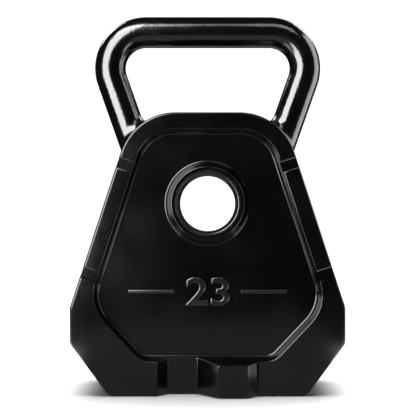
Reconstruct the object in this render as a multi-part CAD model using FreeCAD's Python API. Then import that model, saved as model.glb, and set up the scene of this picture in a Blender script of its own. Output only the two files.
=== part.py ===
"""Kettlebell: an iron core in a moulded jacket, with a bar handle and a nesting base.

Frame: +Z up, +X to the right of the front face, the front face looks along -Y.
The origin is on the surface the bell stands on, midway across its base.
Front and rear are alike: the rear is the front turned half round about the upright axis.
Lengths are millimetres. Each separate piece goes to its own STEP file in parts/.
"""
import FreeCAD, Part
import math
import os

Vector = FreeCAD.Vector
ACROSS = Vector(0, 1, 0)
UP = Vector(0, 0, 1)
ORIGIN = Vector(0, 0, 0)

# ---- Driving dimensions ----

# Body outline, seen from the front
BODY_HEIGHT = 243.3
BODY_THICKNESS = 89.7  # between the front and rear rims
HALF_WIDTH = 118.2
BASE_HALF_WIDTH = 84.8
CHAMFER_TOP = 45.0  # height where the low corners' slant ends
SIDE_FOOT = 76.1  # height where the sides begin to lean in
SIDE_LEAN = math.radians(18.15)
SHOULDER_RADIUS = 49.6
SIDE_FOOT_RADIUS = 10.0
CHAMFER_RADIUS = 8.0
BASE_CORNER_RADIUS = 8.0
EDGE_ROUND = 2.5

SKIN = 2.0  # thickness of the jacket over the iron

# Recessed panel inside the rim, as (half width, height, corner radius) where corners are free
RIM_WIDTH = 14.3
PANEL_DEPTH = 14.0
PANEL_DRAFT = math.radians(10.0)
PANEL_LOWER_CORNER = (102.5, 77.9, 35.0)
PANEL_FOOT_CORNER = (57.1, 29.7, 18.0)
PANEL_FLOOR_ROUND = 3.0
PANEL_RIM_ROUND = 1.5

# Bands across the rim
GROOVE_WIDTH = 8.6
GROOVE_DEPTH = 4.0
GROOVE_HEIGHTS = (106.9, 200.5)  # where the middle of each band meets the body's side

# Wave of the base: a crest on one half of each face and a trough on the other
WAVE_RISE = 10.5
WAVE_CREST_START = 9.0
WAVE_CREST_END = 34.4
WAVE_FOOT = 43.1
WAVE_ROUND = 2.6
WAVE_TOP = 40.0  # inside the recess, which trims it

# Hub
BORE_HEIGHT = 165.3
BORE_RADIUS = 25.9
SLEEVE_WALL = 2.5
SLEEVE_SETBACK = 0.4  # of the sleeve's ends behind the rim's face
SLEEVE_LIP_ROUND = 1.1
BOSS_TOP_RADIUS = 31.6
BOSS_FOOT_RADIUS = 36.1
BOSS_TOP_ROUND = 1.2
BOSS_FOOT_ROUND = 2.0

# Handle bar
BAR_DIAMETER = 27.6
GRIP_HEIGHT = 319.2
BEND_RADIUS = 32.3
BEND_HALF_SPAN = 55.3
LEG_LEAN = math.radians(19.45)
SOCKET_FLOOR = 200.0  # height of the bar's ends inside the core
WELD_ROUND = 12.0

OVERRUN = 20.0  # how far a cutting tool runs past what it cuts
TOUCH = 0.01  # how near counts as touching


def near(a, b):
    """True where two lengths agree."""
    return abs(a - b) < TOUCH


def touches(shape, point):
    """True for a point on or in a shape."""
    return shape.distToShape(Part.Vertex(point))[0] < TOUCH


def edges_like(shape, wanted):
    """The edges of a shape whose middle point and direction there pass a test."""
    chosen = []
    for edge in shape.Edges:
        middle = (edge.FirstParameter + edge.LastParameter) / 2
        if wanted(edge.valueAt(middle), edge.tangentAt(middle)):
            chosen.append(edge)
    return chosen


def half_turned(shape):
    """A copy of a front feature in its place on the rear."""
    turned = shape.copy()
    turned.rotate(ORIGIN, UP, 180)
    return turned


# ---- Outlines ----

def body_corners():
    """The right half of the body's outline from the base up, as (x, z, corner radius)."""
    top_half = HALF_WIDTH - (BODY_HEIGHT - SIDE_FOOT) * math.tan(SIDE_LEAN)
    return [
        (BASE_HALF_WIDTH, 0.0, BASE_CORNER_RADIUS),
        (HALF_WIDTH, CHAMFER_TOP, CHAMFER_RADIUS),
        (HALF_WIDTH, SIDE_FOOT, SIDE_FOOT_RADIUS),
        (top_half, BODY_HEIGHT, SHOULDER_RADIUS),
    ]


def panel_corners():
    """The right half of the recess's outline in the plane of the rim's face."""
    top = BODY_HEIGHT - RIM_WIDTH
    foot_half = HALF_WIDTH - RIM_WIDTH / math.cos(SIDE_LEAN)
    top_half = foot_half - (top - SIDE_FOOT) * math.tan(SIDE_LEAN)
    return [
        PANEL_FOOT_CORNER,
        PANEL_LOWER_CORNER,
        (top_half, top, SHOULDER_RADIUS - RIM_WIDTH),
    ]


def closed_loop(right_half):
    """Mirror a right half outline and give the whole convex loop."""
    return right_half + [(-x, z, radius) for x, z, radius in reversed(right_half)]


def moved_in(loop, distance):
    """Move every side of a convex loop inwards, its corners' rounds staying concentric."""
    count = len(loop)
    moved = []
    for i in range(count):
        x, z, radius = loop[i]
        before_x, before_z, _ = loop[i - 1]
        after_x, after_z, _ = loop[(i + 1) % count]
        arriving = Vector(x - before_x, 0, z - before_z).normalize()
        leaving = Vector(after_x - x, 0, after_z - z).normalize()
        half_turn = arriving.getAngle(leaving) / 2
        shift = (leaving - arriving).normalize() * (distance / math.cos(half_turn))
        moved.append((x + shift.x, z + shift.z, radius - distance))
    return moved


def loop_wire(loop, y):
    """A wire of lines, with an arc at each corner, in the plane at y."""
    count = len(loop)
    corners = [Vector(x, y, z) for x, z, _ in loop]
    arcs = []
    for i in range(count):
        back = (corners[i - 1] - corners[i]).normalize()
        onward = (corners[(i + 1) % count] - corners[i]).normalize()
        half = back.getAngle(onward) / 2
        radius = loop[i][2]
        reach = radius / math.tan(half)
        gap = radius / math.sin(half) - radius
        middle = corners[i] + (back + onward).normalize() * gap
        arcs.append((corners[i] + back * reach, middle, corners[i] + onward * reach))
    edges = []
    for i in range(count):
        edges.append(Part.Arc(*arcs[i]).toShape())
        edges.append(Part.LineSegment(arcs[i][2], arcs[(i + 1) % count][0]).toShape())
    return Part.Wire(edges)


def body_slab(inset):
    """The slab inside the body's outline, as thick as the rims, drawn in by an inset."""
    face = BODY_THICKNESS / 2 - inset
    outline = loop_wire(moved_in(closed_loop(body_corners()), inset), -face)
    return Part.Face(outline).extrude(ACROSS * (2 * face))


# ---- Body ----

def wave_prism(face_y, side, bottom):
    """A crest of the front face on the right side (1), or a trough on the left side (-1)."""
    crest_y = face_y - side * WAVE_RISE
    points = [
        Vector(0, face_y, bottom),
        Vector(side * WAVE_CREST_START, crest_y, bottom),
        Vector(side * WAVE_CREST_END, crest_y, bottom),
        Vector(side * WAVE_FOOT, face_y, bottom),
    ]
    plan = Part.Face(Part.makePolygon(points + [points[0]]))
    return plan.extrude(UP * (WAVE_TOP - bottom))


def wavy_slab(inset):
    """The slab with the wave on the front and the rear of its base."""
    face_y = -BODY_THICKNESS / 2 + inset
    crest = wave_prism(face_y, 1, inset)
    trough = wave_prism(face_y, -1, -OVERRUN)
    joined = body_slab(inset).fuse([crest, half_turned(crest)]).removeSplitter()
    return joined.cut([trough, half_turned(trough)])


def rounded_slab():
    """The wavy slab with the wave's upright edges and all its outer edges rounded."""
    shape = wavy_slab(0.0)
    uprights = edges_like(
        shape, lambda point, along: near(abs(along.z), 1) and abs(point.x) < WAVE_FOOT + 1
    )
    shape = shape.makeFillet(WAVE_ROUND, uprights)
    rims = edges_like(
        shape, lambda point, along: near(abs(point.y), BODY_THICKNESS / 2)
        and near(along.y, 0) and point.z > BODY_HEIGHT / 2
    )
    return shape.makeFillet(EDGE_ROUND, rims)


def recess(inset):
    """The front panel's recess as a solid to cut away, its floor edge rounded."""
    face = BODY_THICKNESS / 2
    slope = math.tan(PANEL_DRAFT)
    proud = WAVE_RISE + 1.0
    deep = PANEL_DEPTH + inset
    loop = moved_in(closed_loop(panel_corners()), -inset)
    mouth = loop_wire(moved_in(loop, -proud * slope), -face - proud)
    floor = loop_wire(moved_in(loop, deep * slope), -face + deep)
    tool = Part.makeLoft([mouth, floor], True, True)
    floor_edges = edges_like(
        tool, lambda point, along: near(point.y, -face + deep) and near(along.y, 0)
    )
    return tool.makeFillet(PANEL_FLOOR_ROUND, floor_edges)


def on_recess_wall(point, along, front_recess):
    """True for an edge where a recess wall meets the rim's face or the wave."""
    turn = -1 if point.y > 0 else 1
    seen = Vector(turn * point.x, turn * point.y, point.z)
    shallow = -seen.y > BODY_THICKNESS / 2 - WAVE_RISE - TOUCH
    return shallow and abs(along.y) < 0.9 and touches(front_recess, seen)


def boss():
    """The raised ring round the bore on the front panel."""
    face = BODY_THICKNESS / 2
    foot = Vector(0, -face + PANEL_DEPTH, BORE_HEIGHT)
    ring = Part.makeCone(BOSS_FOOT_RADIUS, BOSS_TOP_RADIUS, PANEL_DEPTH, foot, -ACROSS)
    top_edge = edges_like(ring, lambda point, along: near(point.y, -face) and near(along.y, 0))
    return ring.makeFillet(BOSS_TOP_ROUND, top_edge)


def groove(height, side, grow):
    """One band across the front rim, square to the side that it crosses."""
    reach = 2 * RIM_WIDTH
    width = GROOVE_WIDTH + 2 * grow
    corner = Vector(-reach, -BODY_THICKNESS / 2 - OVERRUN, -width / 2)
    bar = Part.makeBox(2 * reach, OVERRUN + GROOVE_DEPTH + grow, width, corner)
    bar.rotate(ORIGIN, ACROSS, -side * math.degrees(SIDE_LEAN))
    side_x = HALF_WIDTH + (SIDE_FOOT - height) * math.tan(SIDE_LEAN)
    bar.translate(Vector(side * side_x, 0, height))
    return bar


def grooves(grow):
    """The bands of both rims as solids to cut away."""
    front = [groove(height, side, grow) for height in GROOVE_HEIGHTS for side in (-1, 1)]
    return front + [half_turned(bar) for bar in front]


def bore_rod(radius, length):
    """A rod along the bore, centred in the body's thickness."""
    return Part.makeCylinder(radius, length, Vector(0, -length / 2, BORE_HEIGHT), ACROSS)


def distance_from_bore(point):
    """How far a point is from the bore's axis."""
    return math.hypot(point.x, point.z - BORE_HEIGHT)


def sleeve_hole():
    """The hole that the sleeve fills, as a solid to cut away."""
    return bore_rod(BORE_RADIUS + SLEEVE_WALL, BODY_THICKNESS + 2 * OVERRUN)


def outer_body():
    """The body's outside shape, solid but for the sleeve's hole."""
    front_recess = recess(0.0)
    shape = rounded_slab().cut([front_recess, half_turned(front_recess)])
    rim_edges = edges_like(shape, lambda point, along: on_recess_wall(point, along, front_recess))
    shape = shape.makeFillet(PANEL_RIM_ROUND, rim_edges)
    shape = shape.fuse([boss(), half_turned(boss())])
    boss_feet = edges_like(
        shape, lambda point, along: near(abs(point.y), BODY_THICKNESS / 2 - PANEL_DEPTH)
        and near(distance_from_bore(point), BOSS_FOOT_RADIUS)
    )
    shape = shape.makeFillet(BOSS_FOOT_ROUND, boss_feet)
    return shape.cut(grooves(0.0) + [sleeve_hole()])


def core_casting(bar):
    """The iron core: the body less the jacket's skin, with the hub hole and the bar's sockets."""
    front_recess = recess(SKIN)
    shape = wavy_slab(SKIN).cut([front_recess, half_turned(front_recess)])
    return shape.cut(grooves(SKIN) + [sleeve_hole(), bar])


def hub_sleeve():
    """The steel tube through the bore, its mouths rounded."""
    length = BODY_THICKNESS - 2 * SLEEVE_SETBACK
    tube = bore_rod(BORE_RADIUS + SLEEVE_WALL, length).cut(bore_rod(BORE_RADIUS, length))
    mouths = edges_like(
        tube, lambda point, along: near(abs(point.y), length / 2)
        and near(distance_from_bore(point), BORE_RADIUS)
    )
    return tube.makeFillet(SLEEVE_LIP_ROUND, mouths)


# ---- Handle ----

def bar_path():
    """The bar's centre line: leg, bend, grip, bend, leg, in tangent lines and arcs."""
    sideways = Vector(-math.cos(LEG_LEAN), 0, -math.sin(LEG_LEAN))
    halfway = (sideways + UP).normalize()
    centre = Vector(-BEND_HALF_SPAN, 0, GRIP_HEIGHT - BEND_RADIUS)
    leg_top = centre + sideways * BEND_RADIUS
    drop = leg_top.z - SOCKET_FLOOR
    leg_foot = leg_top + Vector(drop * math.tan(LEG_LEAN), 0, -drop)
    left = [leg_foot, leg_top, centre + halfway * BEND_RADIUS, centre + UP * BEND_RADIUS]
    right = [Vector(-point.x, 0, point.z) for point in reversed(left)]
    return Part.Wire([
        Part.LineSegment(left[0], left[1]).toShape(),
        Part.Arc(*left[1:]).toShape(),
        Part.LineSegment(left[3], right[0]).toShape(),
        Part.Arc(*right[:3]).toShape(),
        Part.LineSegment(right[2], right[3]).toShape(),
    ])


def handle_bar():
    """One round bar bent to shape, both of its ends seated in the core."""
    path = bar_path()
    leg = path.Edges[0]
    end = leg.valueAt(leg.FirstParameter)
    section = Part.Wire([Part.makeCircle(BAR_DIAMETER / 2, end, leg.tangentAt(0))])
    return path.makePipeShell([section], True, False)


def left_leg():
    """The left leg of the bar as a plain rod."""
    leg = bar_path().Edges[0]
    foot = leg.valueAt(leg.FirstParameter)
    return Part.makeCylinder(BAR_DIAMETER / 2, leg.Length, foot, leg.tangentAt(0))


def weld_bead():
    """The bead round the left leg, with a hollow face, where the bar enters the core."""
    core_side = body_slab(SKIN)
    leg = left_leg()
    joined = core_side.fuse(leg).removeSplitter()
    seam = edges_like(
        joined, lambda point, along: touches(leg, point) and touches(core_side, point)
    )
    return joined.makeFillet(WELD_ROUND, seam).cut([core_side, leg])


# ---- Pieces ----

def only_solid(shape):
    """The one solid in a finished shape."""
    assert shape.isValid() and len(shape.Solids) == 1
    return shape.Solids[0]


def main():
    """Build every piece and write its STEP file."""
    os.makedirs("parts", exist_ok=True)
    bar = handle_bar()
    left_bead = weld_bead()
    right_bead = left_bead.mirror(ORIGIN, Vector(1, 0, 0))
    core = core_casting(bar)
    pieces = {
        "core_casting": core,
        "moulded_jacket": outer_body().cut([core, bar, left_bead, right_bead]),
        "hub_sleeve": hub_sleeve(),
        "handle_bar": bar,
        "weld_bead_left": left_bead,
        "weld_bead_right": right_bead,
    }
    for name, shape in pieces.items():
        only_solid(shape).exportStep(f"parts/{name}.step")


main()
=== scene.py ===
"""Looks of a jacketed kettlebell: its skin, bar handle, weld beads, hub sleeve and weight marks.

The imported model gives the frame: +Z up, the front face looks along -Y, the base stands on z = 0.
Sizes below are millimetres and become metres where a mesh is made.
"""
import logging
import math
from contextlib import contextmanager
from dataclasses import dataclass, field
from enum import Enum
from typing import Callable, Iterator

import bmesh
import bpy
from mathutils import Matrix, Vector


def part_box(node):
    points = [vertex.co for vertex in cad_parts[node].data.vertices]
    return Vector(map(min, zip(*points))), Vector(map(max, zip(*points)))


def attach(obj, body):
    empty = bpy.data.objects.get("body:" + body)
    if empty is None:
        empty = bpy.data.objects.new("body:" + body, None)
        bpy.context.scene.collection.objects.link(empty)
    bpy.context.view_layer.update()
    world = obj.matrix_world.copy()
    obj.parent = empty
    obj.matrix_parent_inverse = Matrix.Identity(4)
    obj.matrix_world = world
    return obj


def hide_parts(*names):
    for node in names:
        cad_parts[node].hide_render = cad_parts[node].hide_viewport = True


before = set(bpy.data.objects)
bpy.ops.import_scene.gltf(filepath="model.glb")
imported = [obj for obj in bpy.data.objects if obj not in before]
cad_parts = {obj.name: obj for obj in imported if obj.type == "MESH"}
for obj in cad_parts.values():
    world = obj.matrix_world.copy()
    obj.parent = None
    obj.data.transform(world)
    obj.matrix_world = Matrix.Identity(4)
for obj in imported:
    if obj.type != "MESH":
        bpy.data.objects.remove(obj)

log = logging.getLogger("kettlebell")

MM = 0.001
ROOT = "root"
# How close two places are when they count as one, in millimetres.
NEAR = 0.01
# The turn, in radians, past which an edge is a corner to be rounded.
SHARP = 0.6
# The band of a normal's Y in which a face counts as facing front or rear.
FLAT = (0.5, 1.0)
BLACK = (0.0, 0.0, 0.0, 1.0)
WHITE = (1.0, 1.0, 1.0, 1.0)


class Side(Enum):
    """The two sides of the bell, as the sign of X."""

    LEFT = -1
    RIGHT = 1


class Slot(Enum):
    """Two material slot names, jacket and powder coat; nothing in the script uses them."""

    JACKET = "jacket"
    POWDER_COAT = "powder_coat"


# ----------------------------------------
# Shader maths
# ----------------------------------------


class Signal:
    """A shader output that can be used in Python arithmetic."""

    def __init__(self, graph: "Graph", socket: bpy.types.NodeSocket) -> None:
        """Wrap one output socket.

        Args:
            graph: The node tree that the socket belongs to.
            socket: The output socket.
        """
        self.graph = graph
        self.socket = socket

    def _math(self, operation: str, other: "Signal | float") -> "Signal":
        """Add one Math node on this signal and another value.

        Args:
            operation: The Math node's operation.
            other: Its second value.

        Returns:
            The node's output.
        """
        return self.graph.node("ShaderNodeMath", {"operation": operation}, {0: self, 1: other})

    def __add__(self, other: "Signal | float") -> "Signal":
        """Give self + other."""
        return self._math("ADD", other)

    __radd__ = __add__

    def __mul__(self, other: "Signal | float") -> "Signal":
        """Give self * other."""
        return self._math("MULTIPLY", other)

    __rmul__ = __mul__

    def ramp(self, low: float, high: float) -> "Signal":
        """Give a smooth step.

        Args:
            low: The value that becomes 0.
            high: The value that becomes 1.

        Returns:
            The stepped signal.
        """
        settings = {"interpolation_type": "SMOOTHSTEP"}
        values = {"Value": self, "From Min": low, "From Max": high}
        return self.graph.node("ShaderNodeMapRange", settings, values, "Result")


class Graph:
    """A material's node tree, with one method for every kind of node."""

    def __init__(self, name: str) -> None:
        """Start a material that holds only an output and a Principled shader.

        Args:
            name: The material's name.
        """
        self.material = bpy.data.materials.new(name)
        self.material.use_nodes = True
        self.tree = self.material.node_tree
        self.tree.nodes.clear()
        self.output = self.tree.nodes.new("ShaderNodeOutputMaterial")
        self.shader = self.tree.nodes.new("ShaderNodeBsdfPrincipled")
        self.tree.links.new(self.shader.outputs["BSDF"], self.output.inputs["Surface"])

    def node(
        self, kind: str, settings: dict | None = None, values: dict | None = None,
        output: str | int = 0,
    ) -> Signal:
        """Add a node, set it up and feed it.

        Args:
            kind: The node's type.
            settings: Attributes that are set first.
            values: A number, colour or signal for each named or numbered socket.
            output: The output that is wanted.

        Returns:
            That output.
        """
        made = self.tree.nodes.new(kind)
        for key, value in (settings or {}).items():
            setattr(made, key, value)
        for key, value in (values or {}).items():
            self.feed(made.inputs[key], value)
        return Signal(self, made.outputs[output])

    def feed(self, socket: bpy.types.NodeSocket, value: object) -> None:
        """Link a signal to a socket, or set the socket to a constant.

        Args:
            socket: The input socket.
            value: A Signal, a number or a tuple.
        """
        if isinstance(value, Signal):
            self.tree.links.new(value.socket, socket)
        else:
            socket.default_value = value

    def dress(self, **values: object) -> None:
        """Feed the Principled shader's sockets.

        Args:
            **values: A value for each socket, its name in lower case with underscores.
        """
        sockets = {socket.name.lower().replace(" ", "_"): socket for socket in self.shader.inputs}
        for key, value in values.items():
            self.feed(sockets[key], value)

    def place(self) -> Signal:
        """Give the surface's place in the object's own coordinates, in metres."""
        return self.node("ShaderNodeTexCoord", output="Object")

    def noise(self, cell: float, detail: float = 2.0, roughness: float = 0.5) -> Signal:
        """Add noise of a real size.

        Args:
            cell: The size of its largest lumps, in millimetres.
            detail: How many finer layers it has.
            roughness: How strong those layers are.

        Returns:
            The noise, from 0 to 1.
        """
        values = {
            "Vector": self.place(), "Scale": 1 / (cell * MM),
            "Detail": detail, "Roughness": roughness,
        }
        return self.node("ShaderNodeTexNoise", {}, values, "Fac")

    def mix(self, amount: Signal, first: tuple, second: tuple) -> Signal:
        """Blend two colours.

        Args:
            amount: 0 for the first colour and 1 for the second.
            first: A colour.
            second: A colour.

        Returns:
            The blended colour.
        """
        settings = {"data_type": "RGBA"}
        return self.node("ShaderNodeMix", settings, {0: amount, 6: first, 7: second}, 2)

    def bump(self, height: Signal, depth: float, below: Signal | None = None) -> Signal:
        """Turn a height into a normal.

        Args:
            height: The height, from 0 to 1.
            depth: What a height of 1 stands for, in millimetres.
            below: A normal that this one is laid over.

        Returns:
            The normal.
        """
        values = {"Height": height, "Distance": depth * MM, "Strength": 1.0}
        if below is not None:
            values["Normal"] = below
        return self.node("ShaderNodeBump", {}, values)


# ----------------------------------------
# Finishes
# ----------------------------------------


@dataclass(frozen=True)
class MouldedSkin:
    """The jacket's smooth black moulding: satin, with a fine grain and faint flow marks."""

    colour: tuple = (0.0018, 0.0018, 0.002, 1.0)
    bloom: tuple = (0.004, 0.004, 0.0042, 1.0)
    name: str = "moulded_skin"
    roughness: float = 0.10
    density: float = 1.8
    gloss: float = 0.33
    grain_cell: float = 1.1
    grain_depth: float = 0.008
    flow_cell: float = 38.0
    flow_band: tuple = (0.35, 0.7)
    cloud_cell: float = 6.0
    unevenness: float = 0.04

    def build(self) -> bpy.types.Material:
        """Make the material.

        Returns:
            The finished material.
        """
        graph = Graph(self.name)
        flow = graph.noise(self.flow_cell, detail=3.0).ramp(*self.flow_band)
        grain = graph.noise(self.grain_cell, detail=3.0, roughness=0.6)
        cloud = graph.noise(self.cloud_cell, detail=4.0)
        graph.dress(
            base_color=graph.mix(flow, self.colour, self.bloom),
            roughness=self.roughness + self.unevenness * flow + self.unevenness * cloud,
            normal=graph.bump(grain, self.grain_depth),
            ior=self.density,
            specular_ior_level=self.gloss,
        )
        return graph.material


@dataclass(frozen=True)
class PowderCoat:
    """Gloss black powder coat with an orange peel skin, as on the bar, beads and sleeve."""

    colour: tuple = (0.0016, 0.0016, 0.0018, 1.0)
    density: float = 1.8
    gloss: float = 0.55
    roughness: float = 0.11
    peel_cell: float = 2.4
    peel_depth: float = 0.09
    pimple_cell: float = 1.5
    pimple_depth: float = 0.06
    patch_cell: float = 22.0
    patch_band: tuple = (0.3, 0.75)
    unevenness: float = 0.07

    def build(self) -> bpy.types.Material:
        """Make the material.

        Returns:
            The finished material.
        """
        graph = Graph("powder_coat")
        peel = graph.noise(self.peel_cell, detail=1.0)
        pimples = graph.noise(self.pimple_cell, detail=2.0)
        patches = graph.noise(self.patch_cell, detail=2.0).ramp(*self.patch_band)
        skin = graph.bump(peel, self.peel_depth)
        graph.dress(
            base_color=self.colour,
            roughness=self.roughness + self.unevenness * patches,
            normal=graph.bump(pimples, self.pimple_depth, skin),
            ior=self.density,
            specular_ior_level=self.gloss,
        )
        return graph.material


@dataclass(frozen=True)
class CastIron:
    """Bare sand-cast iron, as on the core inside the jacket."""

    dark: tuple = (0.035, 0.034, 0.033, 1.0)
    light: tuple = (0.11, 0.105, 0.10, 1.0)
    roughness: float = 0.7
    unevenness: float = 0.15
    sand_cell: float = 0.9
    sand_depth: float = 0.12
    stain_cell: float = 16.0

    def build(self) -> bpy.types.Material:
        """Make the material.

        Returns:
            The finished material.
        """
        graph = Graph("cast_iron")
        sand = graph.noise(self.sand_cell, detail=4.0, roughness=0.65)
        stain = graph.noise(self.stain_cell, detail=3.0)
        graph.dress(
            base_color=graph.mix(stain, self.dark, self.light),
            metallic=1.0,
            roughness=self.roughness + self.unevenness * sand,
            normal=graph.bump(sand, self.sand_depth),
        )
        return graph.material


@dataclass(frozen=True)
class StagePaint:
    """Plain matt paint for the floor."""

    name: str
    colour: tuple
    roughness: float = 0.9

    def build(self) -> bpy.types.Material:
        """Make the material.

        Returns:
            The finished material.
        """
        graph = Graph(self.name)
        graph.dress(base_color=self.colour, roughness=self.roughness)
        return graph.material


@dataclass(frozen=True)
class StageGlow:
    """An evenly bright surface for the backdrop."""

    name: str
    strength: float

    def build(self) -> bpy.types.Material:
        """Make the material.

        Returns:
            The finished material.
        """
        graph = Graph(self.name)
        graph.dress(base_color=BLACK, emission_color=WHITE, emission_strength=self.strength)
        return graph.material


# ----------------------------------------
# Bench tools: modelling by operators
# ----------------------------------------


def deselect_all() -> None:
    """Leave object mode with nothing selected."""
    if bpy.context.object is not None and bpy.context.object.mode != "OBJECT":
        bpy.ops.object.mode_set(mode="OBJECT")
    bpy.ops.object.select_all(action="DESELECT")


def choose(piece: bpy.types.Object) -> None:
    """Make one object the selected and active one.

    Args:
        piece: The object.
    """
    deselect_all()
    piece.select_set(True)
    bpy.context.view_layer.objects.active = piece


@contextmanager
def editing(piece: bpy.types.Object) -> Iterator[None]:
    """Work on a piece in edit mode, starting with all of it selected.

    Args:
        piece: The mesh object.

    Yields:
        Nothing; the block runs in edit mode.
    """
    choose(piece)
    bpy.ops.object.mode_set(mode="EDIT")
    bpy.ops.mesh.select_mode(type="VERT")
    bpy.ops.mesh.select_all(action="SELECT")
    yield
    bpy.ops.object.mode_set(mode="OBJECT")


def named(name: str) -> bpy.types.Object:
    """Name the object that an operator has just added.

    Args:
        name: Its new name.

    Returns:
        The object.
    """
    piece = bpy.context.object
    piece.name = name
    piece.data.name = name
    return piece


def settle(piece: bpy.types.Object) -> None:
    """Move a piece's place, turn and scale into its mesh.

    Args:
        piece: The object.
    """
    choose(piece)
    bpy.ops.object.transform_apply(location=True, rotation=True, scale=True)


@dataclass(frozen=True)
class Crease:
    """One edge between two faces, in millimetres and radians."""

    start: Vector
    end: Vector
    normals: tuple
    turn: float

    @property
    def middle(self) -> Vector:
        """The middle of the edge."""
        return (self.start + self.end) / 2

    def from_bore(self, height: float, radius: float) -> float:
        """Give how far the edge's middle is from a circle round the bore's axis.

        Args:
            height: The height of the bore's axis.
            radius: The circle's radius.

        Returns:
            The distance, in millimetres.
        """
        return abs(math.hypot(self.middle.x, self.middle.z - height) - radius)

    def in_plane(self, y: float) -> bool:
        """Say whether the whole edge lies in one plane square to Y."""
        return abs(self.start.y - y) < NEAR and abs(self.end.y - y) < NEAR

    def joins(self, low: tuple, high: tuple) -> bool:
        """Say whether one face's normal is in one band of Y and the other's in another.

        Args:
            low: The least and greatest size of the first normal's Y.
            high: The same for the other normal.

        Returns:
            True where it is so, either way round.
        """
        one, two = (abs(normal.y) for normal in self.normals)
        straight = low[0] <= one <= low[1] and high[0] <= two <= high[1]
        return straight or (low[0] <= two <= low[1] and high[0] <= one <= high[1])


def pick_edges(piece: bpy.types.Object, wanted: Callable[[Crease], bool]) -> int:
    """Select edges in edit mode.

    Args:
        piece: The object that is being edited.
        wanted: True for an edge that is to be selected.

    Returns:
        How many edges were selected.
    """
    bpy.ops.mesh.select_mode(type="EDGE")
    bpy.ops.mesh.select_all(action="DESELECT")
    mesh = bmesh.from_edit_mesh(piece.data)
    count = 0
    for edge in mesh.edges:
        if len(edge.link_faces) == 2:
            ends = [vertex.co / MM for vertex in edge.verts]
            normals = tuple(face.normal.copy() for face in edge.link_faces)
            if wanted(Crease(*ends, normals, edge.calc_face_angle_signed())):
                edge.select = True
                count += 1
    bmesh.update_edit_mesh(piece.data)
    return count


def pick_points(piece: bpy.types.Object, wanted: Callable[[Vector], bool]) -> None:
    """Select points in edit mode by their place.

    Args:
        piece: The object that is being edited.
        wanted: True for a point, in millimetres, that is to be selected.
    """
    bpy.ops.mesh.select_all(action="DESELECT")
    mesh = bmesh.from_edit_mesh(piece.data)
    for vertex in mesh.verts:
        vertex.select = wanted(vertex.co / MM)
    bmesh.update_edit_mesh(piece.data)


def round_edges(
    piece: bpy.types.Object, wanted: Callable[[Crease], bool], reach: float, steps: int,
) -> None:
    """Bevel chosen edges to a round.

    Args:
        piece: The object.
        wanted: True for an edge that is to be rounded.
        reach: How far the round reaches on to each face, in millimetres.
        steps: How many faces make the round.
    """
    with editing(piece):
        bpy.ops.mesh.normals_make_consistent(inside=False)
        count = pick_edges(piece, wanted)
        if count:
            bpy.ops.mesh.bevel(
                offset_type="OFFSET", offset=reach * MM, segments=steps, profile=0.5,
                affect="EDGES", clamp_overlap=False, miter_outer="SHARP",
            )
    log.info("%s: rounded %d edges by %.2f mm", piece.name, count, reach)


def apply_boolean(piece: bpy.types.Object, tool: bpy.types.Object, operation: str) -> None:
    """Join or cut a piece with a tool, and throw the tool away.

    Args:
        piece: The object that is changed.
        tool: The other object.
        operation: UNION or DIFFERENCE.
    """
    choose(piece)
    modifier = piece.modifiers.new(operation.lower(), "BOOLEAN")
    modifier.operation = operation
    modifier.object = tool
    modifier.solver = "EXACT"
    bpy.ops.object.modifier_apply(modifier=modifier.name)
    bpy.data.objects.remove(tool)


def clean(piece: bpy.types.Object) -> None:
    """Merge doubled points and dissolve edges that lie inside flat faces.

    Args:
        piece: The object.
    """
    with editing(piece):
        bpy.ops.mesh.remove_doubles(threshold=0.002 * MM)
        bpy.ops.mesh.dissolve_limited(angle_limit=math.radians(0.05))


def half_turned(piece: bpy.types.Object, name: str) -> bpy.types.Object:
    """Copy a front feature and turn it half round about the upright axis.

    Args:
        piece: The front feature.
        name: The copy's name.

    Returns:
        The copy, with its own mesh.
    """
    turned = piece.copy()
    turned.data = piece.data.copy()
    turned.name = name
    turned.data.name = name
    bpy.context.collection.objects.link(turned)
    turned.data.transform(Matrix.Rotation(math.pi, 4, "Z"))
    return turned


def smooth(piece: bpy.types.Object, angle: float = 32.0) -> None:
    """Shade a piece smooth but for its creases, with flat faces kept flat.

    Args:
        piece: The object.
        angle: The sharpest turn, in degrees, that is still shaded smooth.
    """
    choose(piece)
    bpy.ops.object.shade_smooth_by_angle(angle=math.radians(angle))
    modifier = piece.modifiers.new("weighted", "WEIGHTED_NORMAL")
    modifier.keep_sharp = True
    modifier.weight = 100
    bpy.ops.object.modifier_apply(modifier=modifier.name)


def dress(piece: bpy.types.Object, material: bpy.types.Material) -> None:
    """Give a piece one material.

    Args:
        piece: The object.
        material: The material.
    """
    piece.data.materials.clear()
    piece.data.materials.append(material)


# ----------------------------------------
# Rounded outlines and the blocks cut to them
# ----------------------------------------


@dataclass(frozen=True)
class Corner:
    """One corner of an outline seen from the front."""

    x: float
    z: float
    radius: float


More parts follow.
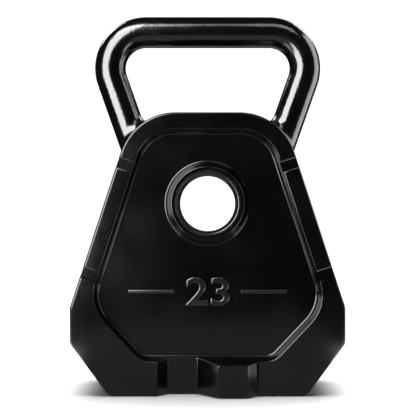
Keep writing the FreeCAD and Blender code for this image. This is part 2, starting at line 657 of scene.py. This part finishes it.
@dataclass(frozen=True)
class Outline:
    """A convex outline that is the same left and right, with rounded corners."""

    right_half: tuple
    step: float = math.radians(4.0)

    def loop(self) -> list:
        """Give every corner, anticlockwise as seen from the front."""
        left = [Corner(-c.x, c.z, c.radius) for c in reversed(self.right_half)]
        return list(self.right_half) + left

    def flats(self) -> list:
        """Give the flat cuts that shape the outline: each side, and each round's tangents.

        Returns:
            Pairs of a point and an outward direction, both in the XZ plane.
        """
        corners = self.loop()
        cuts = []
        for index, corner in enumerate(corners):
            before = corners[index - 1]
            after = corners[(index + 1) % len(corners)]
            start = math.atan2(corner.z - before.z, corner.x - before.x) - math.pi / 2
            end = math.atan2(after.z - corner.z, after.x - corner.x) - math.pi / 2
            turn = (end - start) % (2 * math.pi)
            half = turn / 2
            middle = start + half
            away = corner.radius / math.cos(half)
            centre = Vector((corner.x, 0, corner.z))
            centre -= away * Vector((math.cos(middle), 0, math.sin(middle)))
            count = max(1, round(turn / self.step))
            for number in range(count):
                angle = start + turn * number / count
                outward = Vector((math.cos(angle), 0, math.sin(angle)))
                cuts.append((centre + corner.radius * outward, outward))
        return cuts


def add_block(name: str, low: Vector, high: Vector) -> bpy.types.Object:
    """Add a block between two corners.

    Args:
        name: The new object's name.
        low: Its lowest corner, in millimetres.
        high: Its highest corner.

    Returns:
        The block.
    """
    deselect_all()
    bpy.ops.mesh.primitive_cube_add(size=1, location=(low + high) / 2 * MM)
    block = named(name)
    block.scale = (high - low) * MM
    settle(block)
    return block


def cut_block(
    name: str, outline: Outline, near_y: float, far_y: float, face_y: float = 0.0,
    draft: float = 0.0,
) -> bpy.types.Object:
    """Cut a block to an outline by a run of flat cuts.

    Args:
        name: The new object's name.
        outline: The outline to cut to.
        near_y: Where the block starts along Y, in millimetres.
        far_y: Where it ends.
        face_y: The plane in which the outline holds.
        draft: How far the walls lean in towards the far end, in radians.

    Returns:
        The block.
    """
    corners = outline.loop()
    spare = Vector((60.0, 0, 60.0))
    low = Vector((min(c.x for c in corners), near_y, min(c.z for c in corners)))
    high = Vector((max(c.x for c in corners), far_y, max(c.z for c in corners)))
    block = add_block(name, low - spare, high + spare)
    with editing(block):
        for point, outward in outline.flats():
            normal = outward * math.cos(draft) + Vector((0, math.sin(draft), 0))
            place = Vector((point.x, face_y, point.z)) * MM
            bpy.ops.mesh.select_all(action="SELECT")
            bpy.ops.mesh.bisect(
                plane_co=place, plane_no=normal, use_fill=True, clear_outer=True, threshold=1e-7,
            )
    return block


def add_rod(
    name: str, radius: float, start: Vector, end: Vector, sides: int, tip: float | None = None,
) -> bpy.types.Object:
    """Add a round rod, or a tapered one, between two points.

    Args:
        name: The new object's name.
        radius: The radius at the start, in millimetres.
        start: The middle of one end, in millimetres.
        end: The middle of the other.
        sides: How many sides it has.
        tip: The radius at the end, where it differs.

    Returns:
        The rod.
    """
    along = end - start
    deselect_all()
    bpy.ops.mesh.primitive_cone_add(
        vertices=sides, radius1=radius * MM, radius2=(radius if tip is None else tip) * MM,
        depth=along.length * MM, location=(start + end) / 2 * MM,
        rotation=along.to_track_quat("Z", "Y").to_euler(),
    )
    rod = named(name)
    settle(rod)
    return rod


# ----------------------------------------
# The moulded jacket
# ----------------------------------------


@dataclass
class Jacket:
    """The moulded skin of the body with its rims, recessed panels, hub rings and wavy base."""

    height: float
    thickness: float
    half_width: float
    base_half_width: float = 84.8
    chamfer_top: float = 45.0
    side_foot: float = 76.1
    side_lean: float = math.radians(18.15)
    shoulder_radius: float = 49.6
    edge_round: float = 2.1
    foot_corner_round: float = 8.0
    side_corner_round: float = 10.0

    rim_width: float = 14.3
    panel_depth: float = 14.0
    panel_draft: float = math.radians(10.0)
    panel_floor_round: float = 2.2
    panel_rim_round: float = 0.9
    panel_foot: Corner = Corner(57.1, 29.7, 18.0)
    panel_hip: Corner = Corner(102.5, 77.9, 35.0)

    groove_width: float = 8.6
    groove_depth: float = 4.0
    groove_heights: tuple = (106.9, 200.5)
    groove_lip: tuple = (1.1, 0.55)
    groove_spare: float = 4.0

    wave_rise: float = 10.5
    wave_steps: tuple = (9.0, 34.4, 43.1)
    wave_top: float = 40.0
    wave_round: float = 2.6
    wave_buried: float = 6.0
    trough_bottom: float = -5.0

    bore_height: float = 165.3
    hub_hole_radius: float = 28.4
    boss_top_radius: float = 31.6
    boss_foot_radius: float = 36.1
    hub_foot_reach: float = 1.4
    hub_top_reach: float = 0.75
    hub_buried: float = 4.0
    hub_near: float = 0.3
    hub_sides: int = 128
    bore_tool_reach: float = 80.0
    finish: MouldedSkin = field(default_factory=MouldedSkin)

    @classmethod
    def from_frame(cls) -> "Jacket":
        """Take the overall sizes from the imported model.

        Returns:
            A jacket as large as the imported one.
        """
        low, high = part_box("moulded_jacket")
        rise = cls.wave_rise
        return cls(
            height=high.z / MM, thickness=(high.y - low.y) / MM - 2 * rise, half_width=high.x / MM,
        )

    @property
    def face(self) -> float:
        """How far each rim's face is from the middle plane."""
        return self.thickness / 2

    def body_outline(self) -> Outline:
        """Give the outline of the whole body."""
        top_half = self.half_width - (self.height - self.side_foot) * math.tan(self.side_lean)
        return Outline((
            Corner(self.base_half_width, 0.0, self.foot_corner_round),
            Corner(self.half_width, self.chamfer_top, self.foot_corner_round),
            Corner(self.half_width, self.side_foot, self.side_corner_round),
            Corner(top_half, self.height, self.shoulder_radius),
        ))

    def panel_outline(self) -> Outline:
        """Give the outline of the recess in the plane of the rim's face."""
        top = self.height - self.rim_width
        foot_half = self.half_width - self.rim_width / math.cos(self.side_lean)
        top_half = foot_half - (top - self.side_foot) * math.tan(self.side_lean)
        return Outline((
            self.panel_foot,
            self.panel_hip,
            Corner(top_half, top, self.shoulder_radius - self.rim_width),
        ))

    def wave_tool(self, name: str, side: Side) -> bpy.types.Object:
        """Make the front crest, on the right, or the tool for the front trough, on the left.

        Args:
            name: The new object's name.
            side: Which of the two.

        Returns:
            A short block with slanting flanks.
        """
        start, end, foot = self.wave_steps
        proud = side.value * self.wave_rise
        bottom = 0.0 if side is Side.RIGHT else self.trough_bottom
        near_slope = start / self.wave_rise
        far_slope = (foot - end) / self.wave_rise
        root = -self.wave_buried * side.value
        deselect_all()
        bpy.ops.mesh.primitive_cube_add(size=1)
        block = named(name)
        for vertex in block.data.vertices:
            right = vertex.co.x > 0
            if vertex.co.y < 0:
                x = end if right else start
                y = -self.face - proud
            else:
                x = foot - root * far_slope * side.value if right else root * near_slope * side.value
                y = -self.face - root
            z = self.wave_top if vertex.co.z > 0 else bottom
            vertex.co = Vector((side.value * x, y, z)) * MM
        with editing(block):
            bpy.ops.mesh.normals_make_consistent(inside=False)
        return block

    def add_wave(self, body: bpy.types.Object) -> None:
        """Join the crests and cut the troughs of the base.

        Args:
            body: The body so far.
        """
        for side, operation in ((Side.RIGHT, "UNION"), (Side.LEFT, "DIFFERENCE")):
            front = self.wave_tool("wave_front", side)
            rear = half_turned(front, "wave_rear")
            apply_boolean(body, front, operation)
            apply_boolean(body, rear, operation)
        clean(body)

    def cut_recesses(self, body: bpy.types.Object) -> None:
        """Cut the two panel recesses with rounded floors.

        Args:
            body: The body so far.
        """
        proud = self.wave_rise + 1.0
        floor_y = -self.face + self.panel_depth
        tool = cut_block(
            "recess_front", self.panel_outline(), -self.face - proud, floor_y,
            face_y=-self.face, draft=self.panel_draft,
        )
        reach = self.panel_floor_round * math.tan((math.pi / 2 - self.panel_draft) / 2)
        round_edges(tool, lambda edge: edge.in_plane(floor_y), reach, 5)
        rear = half_turned(tool, "recess_rear")
        apply_boolean(body, tool, "DIFFERENCE")
        apply_boolean(body, rear, "DIFFERENCE")
        clean(body)

    def round_outside(self, body: bpy.types.Object) -> None:
        """Round the wave's upright edges and the two outer rims.

        Args:
            body: The body so far.
        """
        round_edges(
            body,
            lambda edge: (
                edge.joins(FLAT, FLAT) and abs(edge.turn) > 0.5
                and abs(edge.end.z - edge.start.z) > 5
            ),
            self.wave_round * math.tan(math.radians(25)), 4,
        )
        clean(body)
        round_edges(
            body, lambda edge: edge.joins((0.0, 0.02), FLAT) and edge.turn > SHARP,
            self.edge_round, 5,
        )

    def round_mouths(self, body: bpy.types.Object) -> None:
        """Round the inner edge of each rim, where the recess begins.

        Args:
            body: The body so far.
        """
        round_edges(
            body, lambda edge: edge.joins((0.1, 0.3), FLAT) and edge.turn > SHARP,
            self.panel_rim_round, 4,
        )

    def add_hub(self, body: bpy.types.Object) -> None:
        """Raise the cone ring round the bore on each face, and bore it through.

        Args:
            body: The body so far.
        """
        floor_y = -self.face + self.panel_depth
        slope = (self.boss_foot_radius - self.boss_top_radius) / self.panel_depth
        front = add_rod(
            "hub_front", self.boss_foot_radius + self.hub_buried * slope,
            Vector((0, floor_y + self.hub_buried, self.bore_height)),
            Vector((0, -self.face, self.bore_height)), self.hub_sides, tip=self.boss_top_radius,
        )
        rear = half_turned(front, "hub_rear")
        apply_boolean(body, front, "UNION")
        apply_boolean(body, rear, "UNION")
        rod = add_rod(
            "bore", self.hub_hole_radius, Vector((0, -self.bore_tool_reach, self.bore_height)),
            Vector((0, self.bore_tool_reach, self.bore_height)), self.hub_sides,
        )
        apply_boolean(body, rod, "DIFFERENCE")
        clean(body)
        round_edges(
            body,
            lambda edge: (
                edge.from_bore(self.bore_height, self.boss_top_radius) < self.hub_near
                and abs(edge.middle.y) > self.face - NEAR
            ),
            self.hub_top_reach, 3,
        )
        round_edges(
            body,
            lambda edge: (
                edge.from_bore(self.bore_height, self.boss_foot_radius) < self.hub_near
                and edge.turn < -0.5
            ),
            self.hub_foot_reach, 4,
        )

    def cut_grooves(self, body: bpy.types.Object) -> None:
        """Cut the shallow bands across each side rim and soften their edges.

        Args:
            body: The body so far.
        """
        for height in self.groove_heights:
            for side in Side:
                for flare in (False, True):
                    front = self.groove_tool(height, side, flare)
                    rear = half_turned(front, "groove_rear")
                    apply_boolean(body, front, "DIFFERENCE")
                    apply_boolean(body, rear, "DIFFERENCE")
        clean(body)

    def groove_tool(self, height: float, side: Side, flare: bool) -> bpy.types.Object:
        """Make the tool for one groove of the front face, or for its softened lips.

        Args:
            height: The height of its middle at the body's side.
            side: The side of the body that it is on.
            flare: True for the shallow tool that slopes the groove's two lips.

        Returns:
            A bar, square to the side.
        """
        reach = 2 * self.rim_width
        side_x = self.half_width + (self.side_foot - height) * math.tan(self.side_lean)
        inward = self.groove_lip[1] if flare else self.groove_depth
        depth = inward + self.groove_spare
        middle_y = -self.face - self.groove_spare + depth / 2
        deselect_all()
        bpy.ops.mesh.primitive_cube_add(size=1)
        bar = named("groove_front")
        if flare:
            widen = 2 * self.groove_lip[0] * depth / inward
            for vertex in bar.data.vertices:
                if vertex.co.y < 0:
                    vertex.co.z *= 1 + widen / self.groove_width
        bar.scale = Vector((2 * reach, depth, self.groove_width)) * MM
        bar.rotation_euler = (0, -side.value * self.side_lean, 0)
        bar.location = Vector((side.value * side_x, middle_y, height)) * MM
        settle(bar)
        return bar

    def build(self) -> bpy.types.Object:
        """Model the jacket.

        Returns:
            The finished piece.
        """
        body = cut_block("jacket_skin", self.body_outline(), -self.face, self.face)
        self.add_wave(body)
        self.round_outside(body)
        self.cut_recesses(body)
        self.round_mouths(body)
        self.add_hub(body)
        self.cut_grooves(body)
        smooth(body)
        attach(body, ROOT)
        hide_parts("moulded_jacket")
        dress(body, self.finish.build())
        return body


# ----------------------------------------
# The bar handle
# ----------------------------------------


@dataclass
class BarHandle:
    """One round bar bent twice, its legs leaning in towards the body."""

    diameter: float = 27.6
    grip_height: float = 319.2
    bend_radius: float = 32.3
    bend_half_span: float = 55.3
    leg_lean: float = math.radians(19.45)
    socket_floor: float = 200.0
    sides: int = 96
    bend_steps: int = 36
    finish: PowderCoat = field(default_factory=PowderCoat)

    def build(self) -> bpy.types.Object:
        """Model the bar by extruding and spinning one circle.

        Returns:
            The finished piece.
        """
        lean = self.leg_lean
        centre = Vector((-self.bend_half_span, 0, self.grip_height - self.bend_radius))
        leg_top = centre - self.bend_radius * Vector((math.cos(lean), 0, math.sin(lean)))
        drop = leg_top.z - self.socket_floor
        foot = leg_top + Vector((drop * math.tan(lean), 0, -drop))
        other = Vector((-centre.x, 0, centre.z))
        deselect_all()
        bpy.ops.mesh.primitive_circle_add(
            vertices=self.sides, radius=self.diameter / 2 * MM, fill_type="NGON",
            location=foot * MM, rotation=(0, -lean, 0),
        )
        bar = named("grip_bar")
        settle(bar)
        turn = math.pi / 2 + lean
        with editing(bar):
            self.extrude(leg_top - foot)
            self.bend(centre, turn)
            self.extrude(other - centre)
            self.bend(other, turn)
            self.extrude(Vector((leg_top.x - foot.x, 0, foot.z - leg_top.z)))
            bpy.ops.mesh.select_all(action="SELECT")
            bpy.ops.mesh.remove_doubles(threshold=0.001 * MM)
            bpy.ops.mesh.normals_make_consistent(inside=False)
        smooth(bar, 40.0)
        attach(bar, ROOT)
        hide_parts("handle_bar")
        dress(bar, self.finish.build())
        return bar

    def extrude(self, travel: Vector) -> None:
        """Extrude the selected end.

        Args:
            travel: How far and which way, in millimetres.
        """
        bpy.ops.mesh.extrude_region_move(TRANSFORM_OT_translate={"value": travel * MM})

    def bend(self, centre: Vector, turn: float) -> None:
        """Spin the selected end round a bend, clockwise as seen from the front.

        Args:
            centre: The bend's centre, in millimetres.
            turn: The angle.
        """
        bpy.ops.mesh.spin(
            steps=self.bend_steps, angle=-turn, center=centre * MM, axis=(0, 1, 0),
            use_auto_merge=False,
        )


# ----------------------------------------
# The hub sleeve
# ----------------------------------------


@dataclass
class HubSleeve:
    """The steel sleeve that lines the bore, with rounded mouths."""

    bore_height: float
    half_length: float
    outer_radius: float = 28.4
    bore_radius: float = 25.9
    lip_round: float = 1.1
    sides: int = 128
    finish: PowderCoat = field(default_factory=lambda: PowderCoat(
        roughness=0.2, peel_cell=1.9, peel_depth=0.13,
    ))

    @classmethod
    def from_frame(cls, jacket: Jacket) -> "HubSleeve":
        """Take the sleeve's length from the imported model.

        Args:
            jacket: The jacket whose bore it lines.

        Returns:
            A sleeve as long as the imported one.
        """
        return cls(bore_height=jacket.bore_height, half_length=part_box("hub_sleeve")[1].y / MM)

    def build(self) -> bpy.types.Object:
        """Spin the sleeve's section round the bore.

        Returns:
            The finished piece.
        """
        wall = self.outer_radius - self.bore_radius
        middle = Vector((self.bore_radius + wall / 2, 0, self.bore_height))
        deselect_all()
        bpy.ops.mesh.primitive_plane_add(size=1)
        sleeve = named("bore_sleeve")
        sleeve.scale = Vector((wall, 2 * self.half_length, 1)) * MM
        sleeve.location = middle * MM
        settle(sleeve)
        with editing(sleeve):
            pick_points(sleeve, lambda point: abs(point.x - self.bore_radius) < NEAR)
            bpy.ops.mesh.bevel(
                offset=self.lip_round * MM, segments=6, profile=0.5, affect="VERTICES",
            )
            bpy.ops.mesh.select_all(action="SELECT")
            bpy.ops.mesh.delete(type="ONLY_FACE")
            bpy.ops.mesh.select_all(action="SELECT")
            bpy.ops.mesh.spin(
                steps=self.sides, angle=2 * math.pi, center=Vector((0, 0, self.bore_height)) * MM,
                axis=(0, 1, 0), use_auto_merge=True,
            )
            bpy.ops.mesh.select_all(action="SELECT")
            bpy.ops.mesh.remove_doubles(threshold=0.001 * MM)
            bpy.ops.mesh.normals_make_consistent(inside=False)
        smooth(sleeve, 35.0)
        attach(sleeve, ROOT)
        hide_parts("hub_sleeve")
        dress(sleeve, self.finish.build())
        return sleeve


# ----------------------------------------
# Weight marks
# ----------------------------------------


@dataclass
class WeightMark:
    """A plain raised number low on a panel, with a level bar on each side of it."""

    floor: float
    number: str = "23"
    middle_height: float = 88.5
    number_width: float = 38.0
    number_height: float = 25.0
    bar_gap: float = 10.0
    bar_length: float = 40.0
    bar_width: float = 3.2
    relief: float = 1.5
    buried: float = 0.6
    edge_round: float = 0.85
    fatten: float = 0.022
    finish: MouldedSkin = field(default_factory=lambda: MouldedSkin(
        name="mark_skin", roughness=0.16, gloss=0.9,
    ))

    def digits(self) -> bpy.types.Object:
        """Make the number as one flat sheet in the plane y = 0.

        Returns:
            The sheet, centred across the panel.
        """
        deselect_all()
        bpy.ops.object.text_add(rotation=(math.pi / 2, 0, 0))
        text = bpy.context.object
        text.data.body = self.number
        text.data.offset = self.fatten
        text.data.resolution_u = 8
        bpy.ops.object.convert(target="MESH")
        digits = named("mark_digits")
        settle(digits)
        low = Vector(map(min, zip(*(vertex.co for vertex in digits.data.vertices))))
        high = Vector(map(max, zip(*(vertex.co for vertex in digits.data.vertices))))
        across = self.number_width * MM / (high.x - low.x)
        up = self.number_height * MM / (high.z - low.z)
        digits.scale = (across, 1, up)
        digits.location = (
            -across * (low.x + high.x) / 2, 0,
            self.middle_height * MM - up * (low.z + high.z) / 2,
        )
        settle(digits)
        return digits

    def level_bar(self, side: Side) -> bpy.types.Object:
        """Make the bar on one side of the number as one flat sheet.

        Args:
            side: The side of the number that it is on.

        Returns:
            The sheet, in the plane y = 0.
        """
        middle = self.number_width / 2 + self.bar_gap + self.bar_length / 2
        deselect_all()
        bpy.ops.mesh.primitive_plane_add(size=1, rotation=(math.pi / 2, 0, 0))
        bar = named("mark_bar")
        bar.scale = Vector((self.bar_length, self.bar_width, 1)) * MM
        bar.location = Vector((side.value * middle, 0, self.middle_height)) * MM
        settle(bar)
        return bar

    def raise_face(self, mark: bpy.types.Object) -> None:
        """Thicken the flat mark into relief with softened edges.

        Args:
            mark: The flat mark, in the plane y = 0.
        """
        thickness = self.relief + self.buried
        with editing(mark):
            bpy.ops.mesh.remove_doubles(threshold=0.01 * MM)
            bpy.ops.mesh.dissolve_limited(angle_limit=math.radians(0.5))
            bpy.ops.mesh.select_all(action="SELECT")
            bpy.ops.mesh.extrude_region_move(
                TRANSFORM_OT_translate={"value": (0, -thickness * MM, 0)},
            )
            bpy.ops.mesh.select_all(action="SELECT")
            bpy.ops.mesh.normals_make_consistent(inside=False)
        round_edges(
            mark, lambda edge: edge.in_plane(-thickness) and edge.turn > SHARP,
            self.edge_round, 3,
        )
        mark.location.y = -(self.floor - self.buried) * MM
        settle(mark)

    def build(self) -> list:
        """Model the mark on the front panel and again on the rear one.

        Returns:
            The two finished pieces.
        """
        parts = [self.digits()] + [self.level_bar(side) for side in Side]
        deselect_all()
        for part in parts:
            part.select_set(True)
        bpy.context.view_layer.objects.active = parts[0]
        bpy.ops.object.join()
        front = named("weight_mark_front")
        self.raise_face(front)
        smooth(front, 40.0)
        rear = half_turned(front, "weight_mark_rear")
        material = self.finish.build()
        for mark in (front, rear):
            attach(mark, ROOT)
            dress(mark, material)
        return [front, rear]


# ----------------------------------------
# Weld beads and core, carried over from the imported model
# ----------------------------------------


@dataclass(frozen=True)
class CarriedOver:
    """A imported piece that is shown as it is, in a finish of its own."""

    node: str
    finish: PowderCoat | CastIron

    def build(self) -> bpy.types.Object:
        """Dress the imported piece.

        Returns:
            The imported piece.
        """
        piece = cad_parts[self.node]
        dress(piece, self.finish.build())
        return piece


# ----------------------------------------
# The studio
# ----------------------------------------


@dataclass(frozen=True)
class SoftBox:
    """A rectangular soft light that shows in glossy surfaces and leaves the floor alone."""

    name: str
    place: tuple
    size: tuple
    glow: float
    target: tuple = (0.0, 0.0, 0.17)

    def build(self) -> bpy.types.Object:
        """Hang the light.

        Returns:
            The light.
        """
        data = bpy.data.lights.new(self.name, "AREA")
        data.shape = "RECTANGLE"
        data.size, data.size_y = self.size
        data.energy = self.glow * math.pi * data.size * data.size_y
        light = bpy.data.objects.new(self.name, data)
        light.location = self.place
        aim = Vector(self.target) - Vector(self.place)
        light.rotation_euler = aim.to_track_quat("-Z", "Y").to_euler()
        light.visible_diffuse = False
        light.visible_camera = False
        bpy.context.collection.objects.link(light)
        return light


@dataclass
class Studio:
    """A pale floor, a white backdrop, soft boxes and the camera."""

    floor_width: float = 9.0
    floor_drop: float = 0.0002
    floor_colour: tuple = (0.9, 0.9, 0.9, 1.0)
    backdrop_radius: float = 4.05
    backdrop_height: float = 6.0
    backdrop_glow: float = 1.2
    air: tuple = (0.02, 0.02, 0.02, 1)
    camera_place: tuple = (0.0003, -0.8749, 0.1612)
    lens: float = 84.0
    daylight: float = 6.0
    daylight_spread: float = math.radians(60)
    daylight_tilt: float = math.radians(12)
    lights: tuple = (
        SoftBox("key", (-0.37, -0.48, 0.50), (0.50, 0.94), 9, target=(0.0, 0.0, 0.38)),
        SoftBox("crown", (-0.30, -0.55, 1.00), (0.60, 0.28), 3.7, target=(0.0, 0.0, 0.32)),
        SoftBox("crown_right", (0.28, -0.55, 1.00), (0.50, 0.28), 2.2, target=(0.0, 0.0, 0.32)),
        SoftBox("edge", (0.62, 0.035, 0.44), (0.42, 0.86), 3.15, target=(0.0, 0.0, 0.44)),
        SoftBox("behind", (0.35, 1.10, 0.95), (0.50, 0.50), 0.54, target=(0.0, 0.0, 0.20)),
        SoftBox("rear_left", (-0.62, 0.70, 0.95), (0.42, 0.42), 6, target=(0.0, 0.0, 0.20)),
        SoftBox("rear_right", (0.62, 0.70, 0.95), (0.42, 0.42), 4, target=(0.0, 0.0, 0.20)),
        SoftBox("bounce", (0.0, -0.30, 0.0005), (0.30, 0.58), 0.22, target=(0.0, -0.30, 1.0)),
        SoftBox("bounce_rear", (0.0, 0.34, 0.0005), (0.40, 0.58), 0.40, target=(0.0, 0.34, 1.0)),
        SoftBox("bounce_left", (-0.34, -0.14, 0.0005), (0.40, 0.38), 2.25, target=(-0.34, -0.14, 1.0)),
        SoftBox("bounce_right", (0.34, -0.14, 0.0005), (0.40, 0.38), 2.25, target=(0.34, -0.14, 1.0)),
    )

    def build(self) -> None:
        """Set up the whole studio."""
        deselect_all()
        bpy.ops.mesh.primitive_plane_add(size=self.floor_width, location=(0, 0, -self.floor_drop))
        floor = named("floor")
        deselect_all()
        bpy.ops.mesh.primitive_cylinder_add(
            vertices=64, radius=self.backdrop_radius, depth=self.backdrop_height,
            location=(0, 0, self.backdrop_height / 3), end_fill_type="NOTHING",
        )
        backdrop = named("backdrop")
        dress(floor, StagePaint("floor_paint", self.floor_colour).build())
        dress(backdrop, StageGlow("backdrop_glow", self.backdrop_glow).build())
        for sheet in (floor, backdrop):
            settle(sheet)
            sheet.visible_glossy = False
        backdrop.visible_diffuse = False
        backdrop.visible_shadow = False
        for light in self.lights:
            light.build()
        self.add_daylight()
        world = bpy.data.worlds.new("studio_air")
        world.use_nodes = True
        world.node_tree.nodes["Background"].inputs["Color"].default_value = self.air
        bpy.context.scene.world = world
        bpy.context.scene.view_settings.view_transform = "Standard"
        self.add_camera()

    def add_daylight(self) -> None:
        """Light the floor evenly from above, without a reflection of its own."""
        data = bpy.data.lights.new("daylight", "SUN")
        data.energy = self.daylight
        data.angle = self.daylight_spread
        light = bpy.data.objects.new("daylight", data)
        light.rotation_euler = (-self.daylight_tilt, 0, 0)
        light.visible_glossy = False
        bpy.context.collection.objects.link(light)

    def add_camera(self) -> None:
        """Add the camera, level and looking along +Y."""
        data = bpy.data.cameras.new("camera")
        data.lens = self.lens
        camera = bpy.data.objects.new("camera", data)
        camera.location = self.camera_place
        camera.rotation_euler = (math.pi / 2, 0, 0)
        bpy.context.collection.objects.link(camera)
        bpy.context.scene.camera = camera


def main() -> None:
    """Build the bell piece by piece and say what was made."""
    logging.basicConfig(level=logging.INFO, format="%(name)s: %(message)s")
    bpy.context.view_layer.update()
    jacket = Jacket.from_frame()
    body = jacket.build()
    pieces = [body, BarHandle().build(), HubSleeve.from_frame(jacket).build()]
    mark = WeightMark(floor=jacket.face - jacket.panel_depth)
    pieces += mark.build()
    coat = PowderCoat()
    pieces.append(CarriedOver("weld_bead_left", coat).build())
    pieces.append(CarriedOver("weld_bead_right", coat).build())
    pieces.append(CarriedOver("core_casting", CastIron()).build())
    for piece in pieces:
        log.info("%s: %d faces", piece.name, len(piece.data.polygons))
    Studio().build()


if __name__ == "__main__":
    main()
